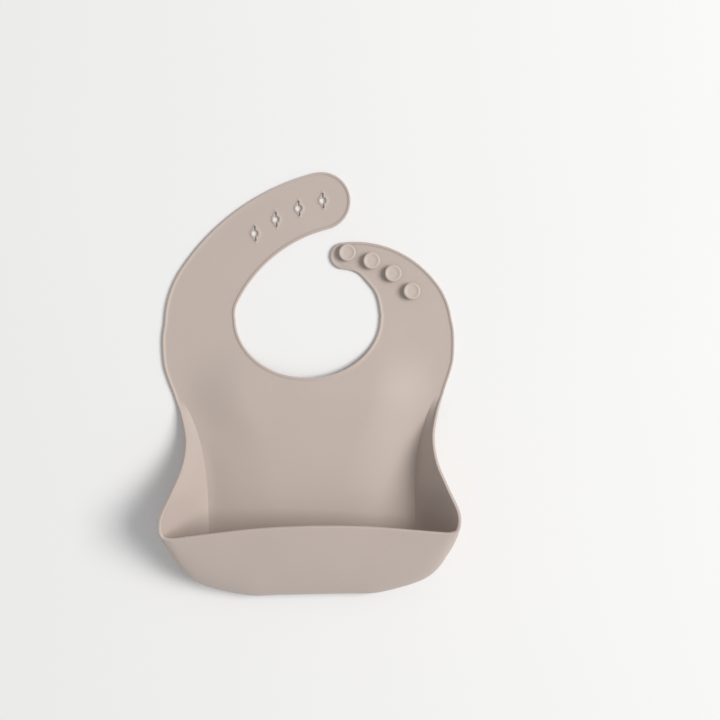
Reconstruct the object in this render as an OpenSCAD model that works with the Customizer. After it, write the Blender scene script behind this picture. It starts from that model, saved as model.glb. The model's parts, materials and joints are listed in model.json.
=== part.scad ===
// Silicone bib with a crumb pocket, two neck straps, four studs and four stud holes.
// The bib lies on its back face. The origin is the centre of the neck opening on that
// face, +Y points to the strap tips, -Y to the pocket and +Z out of the front face.

/* [Sheet] */
// Thickness of the silicone sheet
sheet_t = 1.6; // [1.2:0.1:2.2]
// Width of the raised bead along the edges
bead_w = 2; // [1.2:0.1:3]
// Height of the bead above the sheet
bead_h = 0.7; // [0.3:0.1:1.2]

/* [Neck and body] */
// Width of the neck opening
neck_w = 104; // [84:1:126]
// Depth of the neck opening below the shoulder line
neck_drop = 43; // [34:1:50]
// Widest part of the shoulders
body_w = 210; // [180:1:256]
// Shoulder line to the front of the pocket floor
body_drop = 186; // [160:1:226]
// Shoulder line to the fold across the chest
fold_drop = 53; // [52:1:56]

/* [Pocket] */
// Height of the pocket lip above the table
pocket_h = 48; // [36:1:60]

/* [Hole strap] */
// Length of the strap from the shoulder line to the centre of its round tip
hole_strap_len = 130; // [126:0.5:158]
// Radius of the bend next to the shoulder
hole_root_r = 46.2; // [40:0.1:56]
// Length of the strap that follows the shoulder bend
hole_root_len = 25.2; // [20:0.1:31]
// Radius of the long bend towards the tip
hole_tip_r = 131.8; // [110:0.1:160]
// Half width halfway along the strap, as a pull on its taper
hole_mid_w = 20.3; // [16:0.1:25]
// Half width at the tip
hole_tip_w = 20.7; // [17:0.1:25]

/* [Stud strap] */
// Length of the strap from the shoulder line to the centre of its round tip
stud_strap_len = 74; // [72:0.1:90]
// Clear radius inside the bend next to the shoulder
stud_root_inner_r = 4.5; // [4:0.1:12]
// Length of the strap that follows the shoulder bend
stud_root_len = 11; // [9:0.1:14]
// Radius of the long bend towards the tip
stud_tip_r = 52; // [45:0.5:63]
// Half width halfway along the strap, as a pull on its taper
stud_mid_w = 14; // [12:0.1:17]
// Half width at the tip
stud_tip_w = 9.5; // [8.4:0.1:11.4]

/* [Studs and holes] */
// Distance from one stud to the next, and from one hole to the next
pitch = 18.2; // [15.5:0.1:19]
// Diameter of a stud's head
head_d = 12; // [9:0.1:13]
// Thickness of a stud's head
head_t = 2.6; // [2:0.1:3.4]
// Diameter of a stud's stem
stem_d = 6; // [4.5:0.1:8]
// Height of a stud's stem
stem_h = 2.4; // [1.8:0.1:3.2]
// Rounding of the edges of a stud's head
head_round = 0.6; // [0.3:0.1:0.9]
// Diameter of a stud hole
hole_d = 4.5; // [3.5:0.1:6]
// Length of the slit through a stud hole
slit_len = 11; // [8:0.5:12]
// Width of the slit
slit_w = 0.9; // [0.6:0.1:1.2]
// Length of the eye-shaped raised lip round a hole
eye_len = 13.4; // [12.6:0.1:16]
// Width of the lip
eye_w = 7.4; // [6.2:0.1:8.6]
// Height of the lip above the sheet
eye_h = 0.5; // [0.2:0.1:0.8]

/* [Hidden] */

SILICONE = [0.745, 0.694, 0.659];
RIM = [0.80, 0.75, 0.71];

// Flex lines. The moving side ends in a round nose on the flex axis, and the other side
// in a flat face that is set back from the axis by the nose and a running gap.
gap = 0.3;
nose_r = sheet_t / 2;
set_back = nose_r + gap;
// The bead stops short of a flex line, so that it stays clear when the line is folded.
bead_stop = 1.4;
bead_stop_fold = 2;

// Step along a curved edge, and the number of points round a tip
edge_step = 3.2;
tip_points = 18;

// The body's curves are drawn for this size, and are scaled to the size asked for.
design_w = 210;
design_drop = 186;
design_lip = 48;
kx = body_w / design_w;
ky = body_drop / design_drop;
kz = (pocket_h - sheet_t / 2) / design_lip;

// Body outline: half width of the flat body at a few distances below the shoulder line.
// The last point is the root of the gusset.
EDGE = [[103, 0], [104.7, -10], [105, -20], [104, -33], [100.8, -44], [97.6, -53], [96.6, -56]];
shoulder_x = EDGE[0][0] * kx;
gusset_root_y = EDGE[len(EDGE) - 1][1] * ky;

// Stations of the pocket wall on the right side, from the root of the gusset round the
// corner to the middle of the front. Each has the crease on the floor, the two pulls that
// shape the wall, and the rim, with heights above the middle of the sheet.
WALL = [
    [[91.4, -56, 0], [92.8, -56, 0], [95, -56, 0], [96.6, -56, 0]],
    [[84.6, -71, 0], [86.4, -71, 1.6], [89, -71, 3.6], [91.8, -70.5, 5]],
    [[79.8, -87, 0], [82, -87, 4], [85.4, -87, 9.6], [88.4, -87, 13.6]],
    [[76.8, -103, 0], [80, -103, 7], [85.6, -103.5, 16.5], [90, -104, 24.4]],
    [[75.2, -120, 0], [80.4, -120, 9.4], [90.4, -121.5, 24], [96.6, -121.5, 35.6]],
    [[74.6, -136, 0], [82.4, -137, 7.4], [98.4, -138, 27], [103, -137.5, 43.6]],
    [[74.2, -151, 0], [84.6, -154, 3], [103.4, -158, 29], [102, -147.8, 45]],
    [[72.4, -165, 0], [82.6, -176.5, 0.6], [99, -178, 27], [96.2, -150.6, 45.4]],
    [[66, -177.5, 0], [75, -191.5, 0], [85, -196, 23.6], [84, -149.6, 45.6]],
    [[48, -186, 0], [48, -203, 0], [48, -203.6, 21], [48, -145.8, 46.6]],
    [[24, -186, 0], [24, -204, 0], [24, -204.2, 21], [24, -144.2, 47.6]],
    [[0, -186, 0], [0, -204, 0], [0, -204.2, 21], [0, -143.7, 48]]
];
// Stations where the gusset meets the corner, where the corner meets the front, and the
// middle of the front; the step along the wall, counted in stations; the steps up it; and
// the running gap between two lengths of wall, also counted in stations
gusset_end = 4;
corner_end = 9;
wall_end = len(WALL) - 1;
wall_step = 0.25;
wall_steps_up = 10;
wall_gap = 0.012;

// ---- points, curves ----
function unit(v) = v / norm(v);
function bez2(a, b, c, u) = a * (1 - u) * (1 - u) + b * 2 * u * (1 - u) + c * u * u;
function bez3(p, u) =
    p[0] * pow(1 - u, 3) + p[1] * 3 * u * pow(1 - u, 2) + p[2] * 3 * u * u * (1 - u) + p[3] * pow(u, 3);
// Item i of a list, or its nearest end
function at(list, i) = list[max(0, min(len(list) - 1, i))];
// Smooth curve through a list of points, at a position counted in points
function spline(list, k) =
    let (i = min(floor(k), len(list) - 2), u = k - i,
         a = at(list, i - 1), b = at(list, i), c = at(list, i + 1), d = at(list, i + 2))
    0.5 * (2 * b + (c - a) * u + (2 * a - 5 * b + 4 * c - d) * u * u + (3 * b - a - 3 * c + d) * pow(u, 3));
// Numbers from a to b in steps no longer than step
function ramp(a, b, step) =
    let (n = max(1, ceil(abs(b - a) / step)))
    [for (i = [0:n]) a + (b - a) * i / n];

// ---- straps ----
// A strap is [length, half widths, turn, radius and length of its first bend, radius of
// the rest, fullness]. Turn is -1 for the strap that starts on the left and bends right,
// and 1 for the other. Fullness is how much wider the strap is on the side of the neck, at
// even steps along it, so that this edge carries on from the neck opening. A place on a
// centre line is [x, y, heading].
function walk(p, r, s) =
    let (h = p[2] + s / r * 180 / PI)
    [p[0] + r * (sin(h) - sin(p[2])), p[1] + r * (cos(p[2]) - cos(h)), h];
root_mid = (shoulder_x + neck_w / 2) / 2;
root_w = (shoulder_x - neck_w / 2) / 2;
HOLE_STRAP = [hole_strap_len, [root_w, hole_mid_w, hole_tip_w], -1,
    hole_root_r, hole_root_len, hole_tip_r, [1, 1]];
STUD_STRAP = [stud_strap_len, [root_w, stud_mid_w, stud_tip_w], 1,
    root_w + stud_root_inner_r, stud_root_len, stud_tip_r, [1, 1.14, 1.19, 1.18, 1.17, 1, 1]];
function mid(strap, s) =
    let (turn = strap[2], root = [turn * root_mid, 0, 90], bend = strap[4])
    s <= bend ? walk(root, turn * strap[3], s)
        : walk(walk(root, turn * strap[3], bend), turn * strap[5], s - bend);
function half_w(strap, s, side) =
    let (w = strap[1], u = s / strap[0], fullness = strap[6])
    bez2(w[0], w[1], w[2], u) * (side == strap[2] ? spline(fullness, u * (len(fullness) - 1)) : 1);
// Point on the edge at s, less inset: side 1 is left of the heading, -1 is right of it
function across(strap, s, side, inset = 0) =
    let (m = mid(strap, s), d = side * (half_w(strap, s, side) - inset))
    [m[0] - d * sin(m[2]), m[1] + d * cos(m[2])];
function edge_run(strap, a, b, side, inset = 0) =
    [for (s = ramp(a, b, edge_step)) across(strap, s, side, inset)];
// The same edge, up to a flat end that is set back from the flex line at b. The last point
// before the end is further off where a wide strap bends sharply.
function lead(strap, b, side) =
    let (r = b <= strap[4] ? strap[3] : strap[5])
    set_back * max(2.5, 1.3 / max(0.2, 1 - half_w(strap, b, side) / r));
function edge_to_flex(strap, a, b, side) =
    let (m = mid(strap, b), back = [cos(m[2]), sin(m[2])] * set_back)
    concat(edge_run(strap, a, b - lead(strap, b, side), side), [across(strap, b, side) - back]);
// Points round the tip, from its right side to its left side
function tip_run(strap, inset = 0) =
    let (m = mid(strap, strap[0]), r = half_w(strap, strap[0], 0) - inset)
    [for (i = [1:tip_points - 1])
        let (a = m[2] - 90 + 180 * i / tip_points)
        [m[0] + r * cos(a), m[1] + r * sin(a)]];
function reverse(list) = [for (i = [len(list) - 1:-1:0]) list[i]];

// Holes, as distances along the strap: the last is just past the centre of the round tip
hole_past_centre = 1;
hole_s = [for (i = [3:-1:0]) hole_strap_len + hole_past_centre - i * pitch];
// Flex lines of the hole strap: at the shoulder, at two shares of the stretch up to the
// first hole, and midway between the holes
line_shares = [0, 0.36, 0.77];
hole_lines = [for (u = line_shares) u * hole_s[0], for (i = [0:2]) hole_s[i] + pitch / 2];
// Studs, as distances along the strap, counted back from the tip. Each stands a little to
// one side of the centre line. The flex lines are at the shoulder and between the studs.
stud_tip_gap = 2.7;
stud_step = 0.99 * pitch;
stud_s = [for (i = [3:-1:0]) stud_strap_len - stud_tip_gap - i * stud_step];
stud_side = [-2.4, 0.1, 0.3, -2];
stud_lines = [0, for (i = [0:2]) stud_s[i] + stud_step / 2];
function stud_at(i) =
    let (m = mid(STUD_STRAP, stud_s[i]))
    [m[0] - stud_side[i] * sin(m[2]), m[1] + stud_side[i] * cos(m[2])];

// Extrudes a flat outline to the sheet's thickness
module sheet(points) linear_extrude(sheet_t) polygon(points);
// Raised strip between two runs of points, a hair inside the edge of the sheet
edge_inset = 0.1;
module bead(outer, inner)
    translate([0, 0, sheet_t / 2]) linear_extrude(sheet_t / 2 + bead_h)
        polygon(concat(outer, reverse(inner)));
// Round nose along a flex axis, from its right end to its left one
module nose(right, left) {
    d = left - right;
    translate([right[0], right[1], sheet_t / 2]) rotate([0, 90, atan2(d[1], d[0])])
        rotate([0, 0, -90]) cylinder(r = nose_r, h = norm(d), $fn = 48);
}
module strap_nose(strap, s)
    nose(across(strap, s, -1, edge_inset), across(strap, s, 1, edge_inset));

// A stretch of strap between two flex lines
module strap_piece(strap, a, b) {
    sheet(concat(edge_to_flex(strap, a, b, -1), reverse(edge_to_flex(strap, a, b, 1))));
    strap_nose(strap, a);
    for (side = [-1, 1])
        bead(edge_run(strap, a + bead_stop, b - bead_stop, side, edge_inset),
             edge_run(strap, a + bead_stop, b - bead_stop, side, bead_w));
}
// The last stretch, with its round tip
function tip_outline(strap, a, inset = 0) =
    concat(edge_run(strap, a, strap[0], -1, inset), tip_run(strap, inset),
           reverse(edge_run(strap, a, strap[0], 1, inset)));
module strap_tip(strap, a) {
    sheet(tip_outline(strap, a));
    strap_nose(strap, a);
    bead(tip_outline(strap, a + bead_stop, edge_inset), tip_outline(strap, a + bead_stop, bead_w));
}
// Round hole with its slit, which crosses the hole and runs nearly across the strap
slit_turn = 3;
module stud_hole(p)
    translate([p[0], p[1], -1]) rotate([0, 0, slit_turn]) {
        cylinder(d = hole_d, h = sheet_t + eye_h + 2, $fn = 64);
        translate([-slit_w / 2, -slit_len / 2, 0]) cube([slit_w, slit_len, sheet_t + eye_h + 2]);
    }
// Raised lip round the hole: two arcs that meet in points past the ends of the slit
module stud_eye(p) {
    eye_r = (eye_len * eye_len + eye_w * eye_w) / (4 * eye_w);
    translate([p[0], p[1], sheet_t / 2]) rotate([0, 0, slit_turn])
        linear_extrude(sheet_t / 2 + eye_h) intersection() {
            translate([eye_r - eye_w / 2, 0]) circle(r = eye_r, $fn = 96);
            translate([eye_w / 2 - eye_r, 0]) circle(r = eye_r, $fn = 96);
        }
}
module hole_strap_plain(i) color(SILICONE) strap_piece(HOLE_STRAP, hole_lines[i], hole_lines[i + 1]);
module hole_strap_holed(i, k) color(SILICONE) difference() {
    union() {
        if (i < 5) strap_piece(HOLE_STRAP, hole_lines[i], hole_lines[i + 1]);
        else strap_tip(HOLE_STRAP, hole_lines[i]);
        stud_eye(mid(HOLE_STRAP, hole_s[k]));
    }
    stud_hole(mid(HOLE_STRAP, hole_s[k]));
}
module stud_strap_plain(i) color(SILICONE) {
    if (i < 3) strap_piece(STUD_STRAP, stud_lines[i], stud_lines[i + 1]);
    else strap_tip(STUD_STRAP, stud_lines[i]);
}

// ---- studs ----
// A stem with a wide flat head, standing on the strap
module stud(i) {
    p = stud_at(i);
    arc = [for (a = [0:15:90]) [cos(a), sin(a)] * head_round];
    corner = [head_d / 2 - head_round, head_round];
    color(RIM) translate([p[0], p[1], sheet_t]) rotate_extrude($fn = 72) polygon(concat(
        [[0, 0], [stem_d / 2, 0], [stem_d / 2, stem_h]],
        [for (v = reverse(arc)) [corner[0] + v[0], stem_h + head_round - v[1]]],
        [for (v = arc) [corner[0] + v[0], stem_h + head_t - head_round + v[1]]],
        [[0, stem_h + head_t]]));
}

// ---- body ----
function edge_at(y) =
    let (n = len(EDGE) - 1, yy = y / ky,
         i = max([for (k = [0:n - 1]) EDGE[k][1] >= yy - 0.001 ? k : 0]),
         u = (yy - EDGE[i][1]) / (EDGE[i + 1][1] - EDGE[i][1]))
    spline([for (e = EDGE) e[0]], i + u) * kx;
function body_run(a, b, side, inset = 0) =
    [for (y = ramp(a, b, edge_step)) [side * (edge_at(y) - inset), y]];
// Lower half of the neck opening, from the left shoulder to the right one
function neck_run(inset = 0) =
    [for (i = [0:24])
        let (a = 180 + 180 * i / 24)
        [(neck_w / 2 + inset) * cos(a), (neck_drop + inset) * sin(a)]];
fold_y = -fold_drop;

module chest_panel() color(SILICONE) {
    low = -set_back;
    neck = [for (p = neck_run()) [p[0], min(p[1], low)]];
    sheet(concat(body_run(low, fold_y, -1), body_run(fold_y, low, 1), reverse(neck)));
    fold_x = edge_at(fold_y) - edge_inset;
    nose([fold_x, fold_y], [-fold_x, fold_y]);
    for (side = [-1, 1])
        bead(body_run(-bead_stop, fold_y + bead_stop_fold, side, edge_inset),
             body_run(-bead_stop, fold_y + bead_stop_fold, side, bead_w));
    bead([for (p = neck_run(edge_inset)) [p[0], min(p[1], -bead_stop)]],
         [for (p = neck_run(bead_w)) [p[0], min(p[1], -bead_stop)]]);
}

// ---- pocket wall ----
function scaled(p) = [p[0] * kx, p[1] * ky, nose_r + p[2] * kz];
// Control points of the wall at position k, with the design's own numbers
function wall_row(k) = [for (j = [0:3]) scaled(spline([for (w = WALL) w[j]], k))];
function wall_mid(k, v) = bez3(wall_row(k), v);
// Unit normal, pointing to the outside of the pocket
function wall_normal(k, v) =
    let (d = 0.02,
         along = wall_mid(min(k + d, wall_end), v) - wall_mid(max(k - d, 0), v),
         up = wall_mid(k, min(v + d, 1)) - wall_mid(k, max(v - d, 0)))
    unit(cross(up, along));
// Closed outline of the wall's section at k: up the outside, down the inside, and round
// the foot, which is a half circle about the crease.
function wall_section(k) =
    let (n = wall_steps_up, foot = wall_mid(k, 0), out = wall_normal(k, 0),
         back = unit(foot - wall_mid(k, 0.02)))
    concat(
        [for (i = [0:n]) wall_mid(k, i / n) + wall_normal(k, i / n) * nose_r],
        [for (i = [n:-1:0]) wall_mid(k, i / n) - wall_normal(k, i / n) * nose_r],
        [for (a = [-60:30:60]) foot + (back * cos(a) + out * sin(a)) * nose_r]);
function mirrored(section) = [for (p = section) [-p[0], p[1], p[2]]];
// Faces over one end of the wall: a strip between the two runs, and a fan on the foot
function end_faces(n, m) = concat(
    [for (i = [0:n - 1]) [i, i + 1, 2 * n - i, 2 * n + 1 - i]],
    [[for (i = [0, each [2 * n + 1:m - 1]]) i]]);
module wall_solid(sections) {
    m = len(sections[0]);
    last = (len(sections) - 1) * m;
    ends = end_faces(wall_steps_up, m);
    polyhedron(
        points = [for (s = sections) each s],
        faces = concat(
            [for (i = [0:len(sections) - 2], j = [0:m - 1])
                [i * m + j, i * m + (j + 1) % m, (i + 1) * m + (j + 1) % m]],
            [for (i = [0:len(sections) - 2], j = [0:m - 1])
                [i * m + j, (i + 1) * m + (j + 1) % m, (i + 1) * m + j]],
            [for (f = ends) reverse(f)],
            [for (f = ends) [for (i = f) i + last]]));
}
// A length of the wall from position a to b, on side 1 (right) or -1 (left)
module wall_piece(a, b, side)
    color(SILICONE) mirror([side < 0 ? 1 : 0, 0, 0])
        wall_solid([for (k = ramp(a + wall_gap, b - wall_gap, wall_step)) wall_section(k)]);
module pocket_front() {
    right = [for (k = ramp(corner_end + wall_gap, wall_end, wall_step)) wall_section(k)];
    left = [for (s = reverse(right)) mirrored(s)];
    color(SILICONE) wall_solid(concat(right, [for (i = [1:len(left) - 1]) left[i]]));
}

// Crease on the right, from the root of the gusset to the middle of the front, moved
// towards the floor by inset
function crease_run(inset) =
    [for (k = ramp(0, wall_end, wall_step))
        let (p = wall_mid(k, 0),
             d = unit(wall_mid(min(k + 0.02, wall_end), 0) - wall_mid(max(k - 0.02, 0), 0)))
        [p[0] + d[1] * inset, p[1] - d[0] * inset]];
module belly_panel() {
    top = fold_y - set_back;
    root = gusset_root_y + gap;
    right = concat([[edge_at(top), top], [edge_at(root), root], [crease_run(set_back)[0][0], root]],
                   crease_run(set_back));
    left = [for (p = reverse(right)) [-p[0], p[1]]];
    color(SILICONE) sheet(concat(right, [for (i = [1:len(left) - 1]) left[i]]));
}

belly_panel();
chest_panel();
pocket_front();
wall_piece(gusset_end, corner_end, -1);  // pocket_left_corner
wall_piece(gusset_end, corner_end, 1);  // pocket_right_corner
wall_piece(0, gusset_end, -1);  // left_gusset
wall_piece(0, gusset_end, 1);  // right_gusset
hole_strap_plain(0);  // hole_strap_1
hole_strap_plain(1);  // hole_strap_2
hole_strap_holed(2, 0);  // hole_strap_3
hole_strap_holed(3, 1);  // hole_strap_4
hole_strap_holed(4, 2);  // hole_strap_5
hole_strap_holed(5, 3);  // hole_strap_6
stud_strap_plain(0);  // stud_strap_1
stud_strap_plain(1);  // stud_strap_2
stud_strap_plain(2);  // stud_strap_3
stud_strap_plain(3);  // stud_strap_4
stud(0);  // stud_1
stud(1);  // stud_2
stud(2);  // stud_3
stud(3);  // stud_4
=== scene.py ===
"""Silicone bib: one moulded skin round the CAD frame, cut into pieces at its flex lines.
Lengths are millimetres in the frame's own axes, and a mesh is turned into metres when it is
made."""

import json
import math

import bpy
import bmesh
import numpy as np
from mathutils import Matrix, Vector
from mathutils.geometry import delaunay_2d_cdt


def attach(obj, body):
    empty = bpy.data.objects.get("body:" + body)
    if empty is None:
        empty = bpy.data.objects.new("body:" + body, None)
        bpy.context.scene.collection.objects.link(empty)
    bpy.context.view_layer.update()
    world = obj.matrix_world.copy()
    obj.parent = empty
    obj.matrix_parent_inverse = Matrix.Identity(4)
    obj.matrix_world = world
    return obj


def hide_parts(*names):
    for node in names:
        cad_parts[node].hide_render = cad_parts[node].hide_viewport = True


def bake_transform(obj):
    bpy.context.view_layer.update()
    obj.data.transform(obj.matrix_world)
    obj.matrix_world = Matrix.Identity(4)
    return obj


MM = 0.001

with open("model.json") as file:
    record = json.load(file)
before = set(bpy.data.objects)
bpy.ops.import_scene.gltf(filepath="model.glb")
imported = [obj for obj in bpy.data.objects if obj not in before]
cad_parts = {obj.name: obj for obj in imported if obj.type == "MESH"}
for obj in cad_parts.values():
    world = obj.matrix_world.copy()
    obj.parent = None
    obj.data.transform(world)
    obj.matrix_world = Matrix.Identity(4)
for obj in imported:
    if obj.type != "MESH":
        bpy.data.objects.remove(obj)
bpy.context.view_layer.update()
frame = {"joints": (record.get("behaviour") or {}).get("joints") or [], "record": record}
joints = {j["name"]: j for j in frame["joints"]}
mounts = {m["name"]: m for m in frame["record"]["mounts"]}


# ---------------------------------------------------------------- sizes
def centre(thing):
    """Place of a joint or mount, in millimetres."""
    return np.array(thing["pos_m"]) / MM


SHEET = 2 * centre(joints["neck_fold"])[2]
HALF = SHEET / 2
BODY_DROP = -centre(joints["pocket_open"])[1]
HOLE_R = mounts["stud_hole_1"]["dims"]["r_mm"]
HEAD_R = mounts["stud_head_1"]["dims"]["r_mm"]

# Shape values that the CAD source uses too
NECK_W, NECK_DROP = 104.0, 43.0
BODY_W, POCKET_H = 210.0, 48.0
HOLE_LEN, HOLE_MID_W, HOLE_TIP_W = 130.0, 20.3, 20.7
HOLE_BENDS = (46.2, 25.2, 131.8)
STUD_LEN, STUD_MID_W, STUD_TIP_W = 74.0, 14.0, 9.5
STUD_INNER_R, STUD_BENDS = 4.5, (11.0, 52.0)
STUD_FULLNESS = (1, 1.14, 1.19, 1.18, 1.17, 1, 1)
EYE_LEN, EYE_W, EYE_H = 13.4, 7.4, 0.5
SLIT_LEN, SLIT_W, SLIT_TURN = 11.0, 0.9, math.radians(3)
STEM_R, STEM_H, HEAD_T = 3.0, 2.4, 2.6

# Half width of the flat body at a few distances below the shoulder line
EDGE = [(103, 0), (104.7, -10), (105, -20), (104, -33), (100.8, -44), (97.6, -53), (96.6, -56)]
# Stations of the pocket wall, from the root of the gusset to the middle of the front: the
# crease on the floor, two pulls, and the rim
WALL = [
    [(91.4, -56, 0), (92.8, -56, 0), (95, -56, 0), (96.6, -56, 0)],
    [(84.6, -71, 0), (86.4, -71, 1.6), (89, -71, 3.6), (91.8, -70.5, 5)],
    [(79.8, -87, 0), (82, -87, 4), (85.4, -87, 9.6), (88.4, -87, 13.6)],
    [(76.8, -103, 0), (80, -103, 7), (85.6, -103.5, 16.5), (90, -104, 24.4)],
    [(75.2, -120, 0), (80.4, -120, 9.4), (90.4, -121.5, 24), (96.6, -121.5, 35.6)],
    [(74.6, -136, 0), (82.4, -137, 7.4), (98.4, -138, 27), (103, -137.5, 43.6)],
    [(74.2, -151, 0), (84.6, -154, 3), (103.4, -158, 29), (102, -147.8, 45)],
    [(72.4, -165, 0), (82.6, -176.5, 0.6), (99, -178, 27), (96.2, -150.6, 45.4)],
    [(66, -177.5, 0), (75, -191.5, 0), (85, -196, 23.6), (84, -149.6, 45.6)],
    [(48, -186, 0), (48, -203, 0), (48, -203.6, 21), (48, -145.8, 46.6)],
    [(24, -186, 0), (24, -204, 0), (24, -204.2, 21), (24, -144.2, 47.6)],
    [(0, -186, 0), (0, -204, 0), (0, -204.2, 21), (0, -143.7, 48)],
]
WALL_END = len(WALL) - 1
DESIGN_W, DESIGN_DROP, DESIGN_LIP = 210, 186, 48
SCALE = np.array([BODY_W / DESIGN_W, BODY_DROP / DESIGN_DROP, (POCKET_H - HALF) / DESIGN_LIP])
SHOULDER_X = EDGE[0][0] * SCALE[0]
ROOT_MID = (SHOULDER_X + NECK_W / 2) / 2
ROOT_W = (SHOULDER_X - NECK_W / 2) / 2
GUSSET_ROOT_Y = EDGE[-1][1] * SCALE[1]

# Edge of the sheet in section, from the flat back round the rim and over the raised bead
# to the flat front: distance inwards from the rim, and height above the back
RIM = [
    (3.0, 0), (1.7, 0), (0.8, 0), (0.38, 0.06), (0.12, 0.24), (0.01, 0.55), (0, 1.0), (0, 1.5),
    (0.05, 1.86), (0.22, 2.12), (0.5, 2.26), (0.85, 2.3), (1.2, 2.28), (1.5, 2.18),
    (1.74, 1.98), (1.94, 1.78), (2.2, 1.65), (3.0, 1.6),
]
RIM_IN = RIM[0][0]

# Distance between points along an edge, and between those of the torso's two faces
STEP, TORSO_STEP = 2.4, 3.4
# Positions along the pocket wall at which it has a section, and rows of points up a section
WALL_KS = np.linspace(0, WALL_END, 8 * WALL_END + 1)
WALL_ROWS = 22
# Faces that meet at a larger angle than this keep a sharp edge
SHARP = math.radians(40)

# The lip round a stud hole: how wide its pointed lens is beside the round part, and how
# tightly the two follow the larger of them
LENS_SHARE, LIP_MELT = 0.62, 10
# How far the lip's foot is outside its outline
LIP_FOOT = 0.55
# Rounds of a stud: at its foot, under its head, and at the head's lower and upper rim
FOOT_R, NECK_R, HEAD_LOW_R, HEAD_TOP_R = 1.1, 0.5, 0.9, 0.8
# How far a stud's foot reaches into the sheet
FOOT_SINK = 0.3
# The dish in a stud's head: distance from its axis, and depth below the rim
DISH = [(4.6, 0.03), (4.2, 0.16), (3.8, 0.34), (3.2, 0.45), (2.0, 0.5), (1.0, 0.51)]
STUD_TURNS = 72
STUD_NUMBERS = range(1, 5)

# The soft swell of the torso: its height on the ridge, the share of it on the plateau, and
# the width of its flanks
RIDGE, PLATEAU, FLANK = 6.5, 0.85, 46.0
# The ridge in the middle, and how far it drops at a given distance from the middle
RIDGE_Y, RIDGE_DROP, RIDGE_SIDE = -49.0, 17.0, 90.0
# Half width of the swell at the shoulders, and how much less it is in the pocket
SWELL_HALF_W, SWELL_LESS = 92.0, 21.0
# Stretches down the bib, as where each starts and how long it is: the swell rises, gets
# narrower, gets tight flanks and comes down to the front
RISING, NARROWING, TIGHTENING, ENDING = (-12, 46), (-50, 60), (-70, 40), (-122, 62)
FALL_RUN = 50.0

# The straps' skins start this far below the shoulder line. Where a bend ends, the skin is
# clear of the border by this much. The reaches are how far each bend goes to either side.
CHEST_BORDER = -10.0
CLEAR = 0.4
HOLE_REACH = (9, 12, 10, 3, 3, 3)
STUD_REACH = (9, 4, 4, 3.8)


# ---------------------------------------------------------------- curves
def catmull(a, b, c, d, u):
    return 0.5 * (2 * b + (c - a) * u + (2 * a - 5 * b + 4 * c - d) * u**2 + (3 * b - a - 3 * c + d) * u**3)


def spline(points, k):
    """Smooth curve through points, at a position counted in points."""
    p = np.array(points, float)
    last = len(p) - 1
    i = min(int(k), last - 1)
    return catmull(p[max(i - 1, 0)], p[i], p[i + 1], p[min(i + 2, last)], k - i)


def ramp(a, b, step=STEP):
    """Even values from a to b, no more than step apart."""
    return np.linspace(a, b, max(1, math.ceil(abs(b - a) / step)) + 1)


def smooth(x):
    x = np.clip(x, 0, 1)
    return x * x * (3 - 2 * x)


def between(a, b):
    """Points between a and b, without the two."""
    a, b = np.array(a), np.array(b)
    return [tuple(a + (b - a) * u) for u in ramp(0, 1, STEP / math.dist(a, b))[1:-1]]


def edge_at(y):
    """Half width of the flat body at a distance y below the shoulder line."""
    rows = [e[1] * SCALE[1] for e in EDGE]
    i = max(k for k in range(len(rows) - 1) if rows[k] >= y - 0.001 or k == 0)
    u = (y - rows[i]) / (rows[i + 1] - rows[i])
    return float(spline([[e[0]] for e in EDGE], i + u)[0]) * SCALE[0]


def neck_point(a, inset):
    """Point on the lower half of the neck opening: a is 0 on the right, pi on the left."""
    return (NECK_W / 2 + inset) * math.cos(a), -(NECK_DROP + inset) * math.sin(a)


class Strap:
    """A strap's centre line and its two edges. Below the shoulder line (s < 0) it goes on
    as the lane of the chest between the neck opening and the outer edge. Fullness is how
    much wider the strap is on the side of the neck, at even steps along it."""

    def __init__(self, turn, length, widths, bends, fullness):
        self.turn, self.length, self.widths, self.bends = turn, length, widths, bends
        self.fullness = [[f] for f in fullness]

    def place(self, s):
        """Centre and heading at a distance s along the strap."""
        x, y, h = self.turn * ROOT_MID, 0.0, math.pi / 2
        root_r, root_len, tip_r = self.bends
        for r, run in ((root_r, min(s, root_len)), (tip_r, max(s - root_len, 0))):
            new = h + self.turn * run / r
            x += self.turn * r * (math.sin(new) - math.sin(h))
            y += self.turn * r * (math.cos(h) - math.cos(new))
            h = new
        return x, y, h

    def half_w(self, s, side):
        u = s / self.length
        a, b, c = self.widths
        w = a * (1 - u) ** 2 + 2 * b * u * (1 - u) + c * u * u
        return w * float(spline(self.fullness, u * (len(self.fullness) - 1))[0]) if side == self.turn else w

    def edge(self, s, side, inset):
        """Point on the left (side 1) or right (side -1) edge, moved inwards by inset."""
        if s < 0 and side == self.turn:
            x, y = neck_point(math.asin(-s / NECK_DROP), inset)
            return self.turn * x, y
        if s < 0:
            return self.turn * (edge_at(s) - inset), s
        x, y, h = self.place(s)
        d = side * (self.half_w(s, side) - inset)
        return x - d * math.sin(h), y + d * math.cos(h)

    def border(self, s):
        """Points across the strap, from right to left, between the feet of its two rims."""
        return between(self.edge(s, -1, RIM_IN), self.edge(s, 1, RIM_IN))

    def tip(self, inset):
        """Points round the tip, from its right side to its left side."""
        x, y, h = self.place(self.length)
        r = self.widths[-1] - inset
        steps = ramp(-math.pi / 2, math.pi / 2, STEP / self.widths[-1])[1:-1]
        return [(x + r * math.cos(h + a), y + r * math.sin(h + a)) for a in steps]


hole_strap = Strap(-1, HOLE_LEN, (ROOT_W, HOLE_MID_W, HOLE_TIP_W), HOLE_BENDS, (1, 1))
stud_strap = Strap(
    1, STUD_LEN, (ROOT_W, STUD_MID_W, STUD_TIP_W), (ROOT_W + STUD_INNER_R, *STUD_BENDS), STUD_FULLNESS
)


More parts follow.
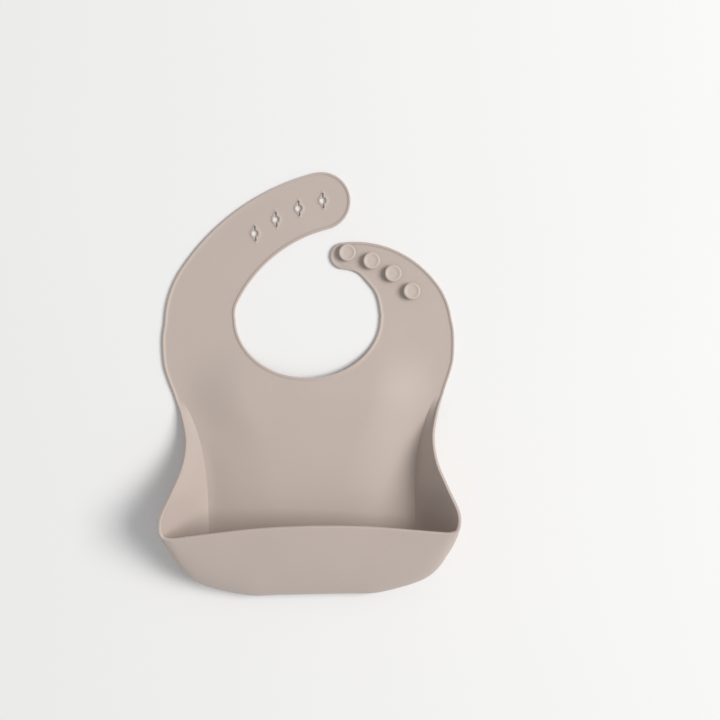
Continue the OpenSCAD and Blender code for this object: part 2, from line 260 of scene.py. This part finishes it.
# ---------------------------------------------------------------- pocket wall
def wall_row(k):
    """The wall's four control points at position k. Its rim leaves the flat body level."""
    rows = np.array(WALL, float) * SCALE + (0, 0, HALF)
    if k >= 1:
        return spline(rows, k)
    lead = 2 * rows[0] - rows[1]
    lead[:, 2] = rows[1][:, 2]
    return catmull(lead, rows[0], rows[1], rows[2], k)


def wall_mid(k, v):
    p = wall_row(k)
    return p[0] * (1 - v) ** 3 + 3 * p[1] * v * (1 - v) ** 2 + 3 * p[2] * v * v * (1 - v) + p[3] * v**3


def wall_in(k, v):
    """Unit normal that points into the pocket."""
    d = 0.02
    along = wall_mid(min(k + d, WALL_END), v) - wall_mid(max(k - d, 0), v)
    up = wall_mid(k, min(v + d, 1)) - wall_mid(k, max(v - d, 0))
    n = np.cross(along, up)
    return n / np.linalg.norm(n)


def crease(k):
    """Inner and outer point of the crease, where the wall's two faces meet the floor's."""
    a, b = np.array([0, 0, 1.0]), wall_in(k, 0)
    offset = HALF * (a + b) / (1 + a @ b)
    foot = wall_mid(k, 0)
    return foot + offset, foot - offset


def round_wall(points):
    """Carries a list for the right side round the whole wall, from the left root to the
    right one. points goes from the root to the middle, and is a list of points."""
    left = [np.array(p) * (-1, 1, 1) for p in points]
    return left + [np.array(p) for p in reversed(points[:-1])]


# ---------------------------------------------------------------- mesh building
class Shell:
    """Vertices and faces of one closed piece."""

    def __init__(self):
        self.verts, self.faces = [], []

    def add(self, points):
        start = len(self.verts)
        self.verts.extend(tuple(float(c) for c in p) for p in points)
        return list(range(start, len(self.verts)))

    def face(self, ring):
        self.faces.append(tuple(ring))

    def strip(self, a, b, closed=False):
        n = len(a)
        for i in range(n if closed else n - 1):
            j = (i + 1) % n
            self.face((a[i], a[j], b[j], b[i]))

    def build(self, name, slot, lift=None):
        """The piece in metres, smooth but for its seams and other sharp turns."""
        co = np.array(self.verts)
        if lift is not None:
            co[:, 2] += lift(co[:, 0], co[:, 1])
        mesh = bpy.data.meshes.new(name)
        mesh.from_pydata([tuple(c) for c in co * MM], [], self.faces)
        bm = bmesh.new()
        bm.from_mesh(mesh)
        bmesh.ops.recalc_face_normals(bm, faces=bm.faces)
        for e in bm.edges:
            e.smooth = e.calc_face_angle(0) < SHARP
        for f in bm.faces:
            f.smooth = True
        bm.to_mesh(mesh)
        bm.free()
        piece = bpy.data.objects.new(name, mesh)
        bpy.context.scene.collection.objects.link(piece)
        mesh.materials.append(MATERIALS[slot])
        return piece


def inside(x, y, loop):
    """Whether points lie inside a closed loop of points."""
    hit = np.zeros(np.shape(x), bool)
    for (x1, y1), (x2, y2) in zip(loop, loop[1:] + loop[:1]):
        if y1 != y2:
            hit ^= ((y1 > y) != (y2 > y)) & (x < x1 + (y - y1) * (x2 - x1) / (y2 - y1))
    return hit


def grid_in(loops, step):
    """Points of a triangular grid inside the first loop and outside the others, clear of
    all of them by a share of the step."""
    row_share, clear_share = 0.87, 0.6
    rim = np.array([p for loop in loops for p in loop])
    low, high = rim.min(0), rim.max(0)
    rows = np.arange(low[1], high[1], step * row_share)
    x, y = np.meshgrid(np.arange(low[0], high[0], step), rows)
    x[1::2] += step / 2
    x, y = x.ravel(), y.ravel()
    keep = inside(x, y, loops[0])
    for loop in loops[1:]:
        keep &= ~inside(x, y, loop)
    gap = np.hypot(x[:, None] - rim[:, 0], y[:, None] - rim[:, 1]).min(1)
    keep &= gap > step * clear_share
    return list(zip(x[keep], y[keep]))


def sheet_shell(runs, step=STEP, holes=()):
    """Closed shell of a flat piece. runs go round it anticlockwise: ("edge", f), where
    f(inset) gives the points of a real edge, or ("seam", front, back), the points of a
    border with the next piece. An edge comes before and after each seam."""
    shell = Shell()
    parts = []
    for kind, *data in runs:
        if kind == "edge":
            parts.append([shell.add([(x, y, z) for x, y in data[0](d)]) for d, z in RIM])
        else:
            parts.append([shell.add(data[1]), shell.add(data[0])])
    for i, (kind, *_) in enumerate(runs):
        part, before, after = parts[i], parts[i - 1], parts[(i + 1) % len(parts)]
        if kind == "edge":
            for a, b in zip(part, part[1:]):
                shell.strip(a, b)
            continue
        shell.strip(before[0][-1:] + part[0] + after[0][:1], before[-1][-1:] + part[1] + after[-1][:1])
        shell.face([ring[-1] for ring in before])
        shell.face([ring[0] for ring in after])
    front = [i for part in parts for i in part[-1]]
    back = [i for part in parts for i in part[0]]
    ids = [list(range(len(front)))]
    for hole in holes:
        front_foot, back_foot = stud_hole(shell, hole)
        ids.append(list(range(len(front), len(front) + len(front_foot))))
        front += front_foot
        back += back_foot
    loops = [[shell.verts[front[i]][:2] for i in loop] for loop in ids]
    grid = grid_in(loops, step)
    front += shell.add([(x, y, SHEET) for x, y in grid])
    back += shell.add([(x, y, 0) for x, y in grid])
    edges = [(a, b) for loop in ids for a, b in zip(loop, loop[1:] + loop[:1])]
    points = [Vector(shell.verts[i][:2]) for i in front]
    inner_only, merge = 1, 1e-5
    _, _, faces, origin, *_ = delaunay_2d_cdt(points, edges, [], inner_only, merge)
    for face in faces:
        corners = [origin[v][0] for v in face]
        x, y = sum((points[i] for i in corners), Vector((0, 0))) / len(corners)
        if not any(inside(x, y, loop) for loop in loops[1:]):
            shell.face([front[i] for i in corners])
            shell.face([back[i] for i in reversed(corners)])
    return shell


def seam(points):
    return ("seam", [(x, y, SHEET) for x, y in points], [(x, y, 0) for x, y in points])


# ---------------------------------------------------------------- stud holes
def hole_outline(grow):
    """Round hole joined to its slit, grown by a small amount, anticlockwise from +X."""
    r = HOLE_R + grow
    w = SLIT_W / 2 + grow
    top = (SLIT_LEN - SLIT_W) / 2
    meet = math.acos(w / r)
    first = [(r * math.cos(a), r * math.sin(a)) for a in np.linspace(0, meet, 12)]
    first += [(w, y) for y in np.linspace(r * math.sin(meet), top, 6)[1:]]
    first += [(w * math.cos(a), top + w * math.sin(a)) for a in np.linspace(0, math.pi / 2, 5)[1:]]
    half = first + [(-x, y) for x, y in reversed(first[:-1])]
    return half + [(-x, -y) for x, y in half[1:-1]]


def eye_outline(grow):
    """The lip round the hole: two shallow arcs that meet in points past the slit, melted
    into a circle round the hole. It has a point for each one of the hole's outline."""
    width = EYE_W * LENS_SHARE
    r = (EYE_LEN**2 + width**2) / (4 * width)
    c = r - width / 2
    points = []
    for x, y in hole_outline(0):
        a = math.atan2(y, x)
        arcs = math.sqrt((r + grow) ** 2 - (c * math.sin(a)) ** 2) - c * abs(math.cos(a))
        circle = EYE_W / 2 + grow
        reach = (arcs**LIP_MELT + circle**LIP_MELT) ** (1 / LIP_MELT)
        points.append((reach * math.cos(a), reach * math.sin(a)))
    return points


def stud_hole(shell, at):
    """Adds a hole with its raised lip, and gives the lip's foot on the front and back. Each
    row of the section is how much an outline is grown, and its height above the back."""
    top = SHEET + EYE_H
    lip = [(LIP_FOOT, SHEET), (0.22, SHEET + 0.05), (0.05, SHEET + 0.2), (-0.1, top - 0.1), (-0.35, top)]
    upper = [(0.3, top), (0.08, top - 0.07), (0, top - 0.28), (0, SHEET / 2)]
    lower = [(0, 0.25), (0.08, 0.06), (0.28, 0)]
    rings = [(eye_outline(grow), z) for grow, z in lip]
    rings += [(hole_outline(grow), z) for grow, z in upper + lower]
    rings.append((eye_outline(LIP_FOOT), 0))
    c, s = math.cos(SLIT_TURN), math.sin(SLIT_TURN)
    loops = [
        shell.add([(at[0] + x * c - y * s, at[1] + x * s + y * c, z) for x, y in outline])
        for outline, z in rings
    ]
    for a, b in zip(loops, loops[1:]):
        shell.strip(a, b, closed=True)
    return loops[0], loops[-1]


# ---------------------------------------------------------------- straps
def strap_shell(strap, a, b, holes):
    """The skin of a strap from a to b, or from a round the tip if b is None."""
    end = strap.length if b is None else b

    def side(which, start, stop):
        return lambda inset: [strap.edge(s, which, inset) for s in ramp(start, stop)]

    right, left = side(-1, a, end), side(1, end, a)
    if b is None:
        runs = [("edge", lambda inset: right(inset) + strap.tip(inset) + left(inset))]
    else:
        runs = [("edge", right), seam(strap.border(b)), ("edge", left)]
    runs.append(seam(strap.border(a)[::-1]))
    return sheet_shell(runs, STEP, holes)


def strap_skin(strap, kind, lines, reaches, holes=()):
    """One piece for each flex line of a strap. It starts a little before that line, reaches across
    it, and ends where the next piece starts. holes is a list of (s, place)."""
    borders = [CHEST_BORDER] + [s - r - CLEAR for s, r in zip(lines[1:], reaches[1:])]
    for i, (a, b) in enumerate(zip(borders, borders[1:] + [None])):
        own = [place for s, place in holes if a < s < (b or math.inf)]
        piece = strap_shell(strap, a, b, own).build(f"{kind}_skin_{i + 1}", "silicone")
        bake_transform(piece)
        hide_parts(f"{kind}_{i + 1}")


def distance_along(strap, thing):
    """Distance along a strap at which a joint or mount lies."""
    at = centre(thing)[:2]
    step = 0.05
    tries = np.arange(0, strap.length, step)
    return min(tries, key=lambda s: math.dist(strap.place(s)[:2], at))


def flex_lines(strap, kind, count):
    return [distance_along(strap, joints[f"{kind}_bend_{i + 1}"]) for i in range(count)]


def make_straps():
    hole_mounts = [mounts[f"stud_hole_{i}"] for i in STUD_NUMBERS]
    holes = [(distance_along(hole_strap, m), centre(m)) for m in hole_mounts]
    hole_lines = flex_lines(hole_strap, "hole_strap", len(HOLE_REACH))
    stud_lines = flex_lines(stud_strap, "stud_strap", len(STUD_REACH))
    strap_skin(hole_strap, "hole_strap", hole_lines, HOLE_REACH, holes)
    strap_skin(stud_strap, "stud_strap", stud_lines, STUD_REACH)


# ---------------------------------------------------------------- studs
def arc(x, z, r, start, stop, steps):
    """Points of an arc with its middle at x, z, between two angles in quarter turns."""
    angles = np.linspace(start, stop, steps) * math.pi / 2
    return [(x + r * math.cos(a), z + r * math.sin(a)) for a in angles]


def make_stud(i):
    """A stem with a filleted foot and a wide head, whose dished top has a raised rim."""
    under = SHEET + STEM_H
    top = under + HEAD_T
    foot = arc(STEM_R + FOOT_R, SHEET + FOOT_R, FOOT_R, -1, -2, 7)
    neck = arc(STEM_R + NECK_R, under - NECK_R, NECK_R, 2, 1, 5)
    side = arc(HEAD_R - HEAD_LOW_R, under + HEAD_LOW_R, HEAD_LOW_R, -1, 0, 7)
    rim = arc(HEAD_R - HEAD_TOP_R, top - HEAD_TOP_R, HEAD_TOP_R, 0, 1, 8)
    dish = [(r, top - depth) for r, depth in DISH]
    profile = [(foot[0][0], SHEET - FOOT_SINK)] + foot + neck + side + rim + dish
    x, y, _ = centre(mounts[f"stud_head_{i}"])
    turns = np.linspace(0, 2 * math.pi, STUD_TURNS, endpoint=False)
    shell = Shell()
    rings = [
        shell.add([(x + r * math.cos(t), y + r * math.sin(t), z) for t in turns])
        for r, z in profile
    ]
    for a, b in zip(rings, rings[1:]):
        shell.strip(a, b, closed=True)
    for ring in (rings[0], rings[-1]):
        middle = shell.add([(x, y, shell.verts[ring[0]][2])])[0]
        for a, b in zip(ring, ring[1:] + ring[:1]):
            shell.face((a, b, middle))
    piece = shell.build(f"stud_head_{i}", "silicone_stud")
    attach(piece, f"stud_strap_part_{i}")
    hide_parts(f"stud_{i}")


# ---------------------------------------------------------------- body
def down(y, start, run):
    """0 above y = start, 1 from a run below it, and smooth between them."""
    return smooth((start - y) / run)


def chest_lift(x, y):
    """Height of the soft swell of the sheet. A ridge runs in an arc below the neck opening.
    From there the sheet falls to a plateau. Its flanks are soft at the shoulders, and in the
    pocket they come down to the crease like a tight sheet, steepest at the crease itself."""
    ridge = RIDGE_Y - RIDGE_DROP * (x / RIDGE_SIDE) ** 2
    fall = 1 - (1 - PLATEAU) * down(y, ridge, FALL_RUN)
    side = SWELL_HALF_W - SWELL_LESS * down(y, *NARROWING)
    inward = np.clip((side - np.abs(x)) / FLANK, 0, 1)
    soft, tight = smooth(inward), 1 - (1 - inward) ** 2
    across = soft + (tight - soft) * down(y, *TIGHTENING)
    return RIDGE * down(y, *RISING) * fall * across * (1 - down(y, *ENDING))


def make_torso():
    """Chest and floor: from the borders with the straps down to the crease."""
    a0 = math.asin(-CHEST_BORDER / NECK_DROP)

    def outer(start, stop, sign):
        return lambda inset: [(sign * (edge_at(y) - inset), y) for y in ramp(start, stop)]

    def neck(inset):
        return [neck_point(a, inset) for a in ramp(a0, math.pi - a0, 2 * STEP / NECK_W)]

    sides = [crease(k) for k in WALL_KS]
    fronts = round_wall([s[0] for s in sides])
    backs = round_wall([s[1] for s in sides])
    runs = [
        ("edge", outer(GUSSET_ROOT_Y, CHEST_BORDER, 1)), seam(stud_strap.border(CHEST_BORDER)),
        ("edge", neck), seam(hole_strap.border(CHEST_BORDER)),
        ("edge", outer(CHEST_BORDER, GUSSET_ROOT_Y, -1)), ("seam", fronts, backs),
    ]
    piece = sheet_shell(runs, TORSO_STEP).build("torso_skin", "silicone", chest_lift)
    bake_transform(piece)
    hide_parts("belly_panel", "chest_panel")


def wall_section(k):
    """Points of the wall's section: up the outside, over the rim with its bead, which is on
    the inner side, and down the inside."""
    vs = np.linspace(0, 1, 61)
    line = [wall_mid(k, v) for v in vs]
    lengths = np.array([0] + [np.linalg.norm(b - a) for a, b in zip(line, line[1:])]).cumsum()

    def place(inset, height):
        v = float(np.interp(lengths[-1] - inset, lengths, vs))
        return wall_mid(k, v) + wall_in(k, v) * (height - HALF)

    rises = np.linspace(lengths[-1], RIM_IN, WALL_ROWS + 1)[1:-1]
    inner, outer = crease(k)
    outside = [outer] + [place(d, 0) for d in rises]
    inside_face = [place(d, SHEET) for d in rises[::-1]] + [inner]
    return outside + [place(d, z) for d, z in RIM] + inside_face


def make_wall():
    """Both gussets, both corners and the front, in one piece from root to root."""
    shell = Shell()
    sections = [wall_section(k) for k in WALL_KS]
    rows = [round_wall(row) for row in zip(*sections)]
    columns = [shell.add(column) for column in zip(*rows)]
    for a, b in zip(columns, columns[1:]):
        shell.strip(a, b, closed=True)
    shell.face(columns[0])
    shell.face(columns[-1])
    piece = shell.build("pocket_wall_skin", "silicone")
    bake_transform(piece)
    corners = ("pocket_left_corner", "pocket_right_corner")
    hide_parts("pocket_front", *corners, "left_gusset", "right_gusset")


# ---------------------------------------------------------------- materials
def srgb(r, g, b):
    """Linear colour of an 8-bit screen colour."""
    def lin(c):
        c /= 255
        return c / 12.92 if c <= 0.04045 else ((c + 0.055) / 1.055) ** 2.4
    return (lin(r), lin(g), lin(b), 1)


def node(tree, kind, **values):
    """A new node. Values whose name is an input's go to that input, others to the node."""
    made = tree.nodes.new(kind)
    for name, value in values.items():
        if name in made.inputs:
            made.inputs[name].default_value = value
        else:
            setattr(made, name.lower(), value)
    return made


def noise(tree, coords, scale, detail=3.0, rough=0.5):
    made = node(tree, "ShaderNodeTexNoise", Scale=scale, Detail=detail, Roughness=rough)
    tree.links.new(coords, made.inputs["Vector"])
    return made.outputs[0]


# Scales of the noises, from the widest to the finest
CLOUDS, WAVES, PATCHES, GRAIN = 22, 34, 140, 2600


def silicone(name, base, warm, roughness):
    """Matt moulded silicone: an even body colour with faint warm clouds, a soft bloom of
    sheen, and the very fine grain that the mould leaves."""
    mat = bpy.data.materials.new(name)
    mat.use_nodes = True
    tree = mat.node_tree
    bsdf = tree.nodes["Principled BSDF"]
    coords = node(tree, "ShaderNodeTexCoord").outputs["Object"]
    clouds = noise(tree, coords, CLOUDS, 3, 0.55)
    mix = node(tree, "ShaderNodeMix", data_type="RGBA")
    mix.inputs[6].default_value = base
    mix.inputs[7].default_value = warm
    tree.links.new(clouds, mix.inputs[0])
    tree.links.new(mix.outputs[2], bsdf.inputs["Base Color"])
    spread = node(tree, "ShaderNodeMapRange")
    spread.inputs["To Min"].default_value = roughness - 0.05
    spread.inputs["To Max"].default_value = roughness + 0.06
    tree.links.new(noise(tree, coords, PATCHES, 2), spread.inputs["Value"])
    tree.links.new(spread.outputs[0], bsdf.inputs["Roughness"])
    fine = node(tree, "ShaderNodeBump", Strength=0.12, Distance=0.00012)
    tree.links.new(noise(tree, coords, GRAIN, 3, 0.6), fine.inputs["Height"])
    soft = node(tree, "ShaderNodeBump", Strength=0.22, Distance=0.0006)
    tree.links.new(noise(tree, coords, WAVES, 2, 0.45), soft.inputs["Height"])
    tree.links.new(soft.outputs[0], fine.inputs["Normal"])
    tree.links.new(fine.outputs[0], bsdf.inputs["Normal"])
    bsdf.inputs["Specular IOR Level"].default_value = 0.38
    bsdf.inputs["Sheen Weight"].default_value = 0.12
    bsdf.inputs["Sheen Roughness"].default_value = 0.5
    bsdf.inputs["Subsurface Weight"].default_value = 0.08
    bsdf.inputs["Subsurface Radius"].default_value = (1.0, 0.7, 0.5)
    bsdf.inputs["Subsurface Scale"].default_value = 0.0015
    return mat


def floor_material():
    mat = bpy.data.materials.new("floor_paper")
    mat.use_nodes = True
    tree = mat.node_tree
    bsdf = tree.nodes["Principled BSDF"]
    coords = node(tree, "ShaderNodeTexCoord").outputs["Object"]
    mix = node(tree, "ShaderNodeMix", data_type="RGBA")
    mix.inputs[6].default_value = (0.86, 0.86, 0.86, 1)
    mix.inputs[7].default_value = (0.88, 0.88, 0.88, 1)
    tree.links.new(noise(tree, coords, 3), mix.inputs[0])
    tree.links.new(mix.outputs[2], bsdf.inputs["Base Color"])
    bsdf.inputs["Roughness"].default_value = 0.9
    bsdf.inputs["Specular IOR Level"].default_value = 0.1
    return mat


MATERIALS = {
    "silicone": silicone("bib_silicone", srgb(188, 175, 167), srgb(194, 180, 171), 0.56),
    "silicone_stud": silicone("bib_silicone_stud", srgb(195, 182, 174), srgb(200, 187, 178), 0.5),
}


# ---------------------------------------------------------------- floor, light, camera
def make_floor():
    """A pale sheet just below the bib."""
    half, below = 6.0, 0.0002
    mesh = bpy.data.meshes.new("floor")
    corners = [(-half, -half), (half, -half), (half, half), (-half, half)]
    mesh.from_pydata([(x, y, -below) for x, y in corners], [], [(0, 1, 2, 3)])
    floor = bpy.data.objects.new("floor", mesh)
    bpy.context.scene.collection.objects.link(floor)
    mesh.materials.append(floor_material())


def area_light(name, place, aim, size, power, colour):
    data = bpy.data.lights.new(name, "AREA")
    data.shape = "RECTANGLE"
    data.size, data.size_y = size
    data.energy = power
    data.color = colour
    lamp = bpy.data.objects.new(name, data)
    lamp.location = place
    lamp.rotation_euler = (Vector(aim) - Vector(place)).to_track_quat("-Z", "Y").to_euler()
    bpy.context.scene.collection.objects.link(lamp)


def make_light():
    """A large soft light from the right, and an even pale room."""
    place, aim = (2.9, 0.2, 3.1), (0.02, -0.04, 0)
    area_light("window", place, aim, size=(2.0, 2.0), power=148, colour=(1.0, 0.985, 0.97))
    world = bpy.data.worlds.new("studio")
    world.use_nodes = True
    background = world.node_tree.nodes["Background"]
    background.inputs["Color"].default_value = (0.985, 0.99, 1.0, 1)
    background.inputs["Strength"].default_value = 0.46
    bpy.context.scene.world = world
    bpy.context.scene.view_settings.view_transform = "Standard"


def make_camera():
    """Straight above the table, turned a little, with the whole bib left of the middle."""
    data = bpy.data.cameras.new("camera")
    data.sensor_width = 36
    data.lens = 62.5
    camera = bpy.data.objects.new("camera", data)
    middle, height, turn = (0.0369, -0.031), 0.9, math.radians(-1.2)
    camera.location = (*middle, height)
    camera.rotation_euler = (0, 0, turn)
    bpy.context.scene.collection.objects.link(camera)
    bpy.context.scene.camera = camera


make_torso()
make_wall()
make_straps()
for number in STUD_NUMBERS:
    make_stud(number)
make_floor()
make_light()
make_camera()
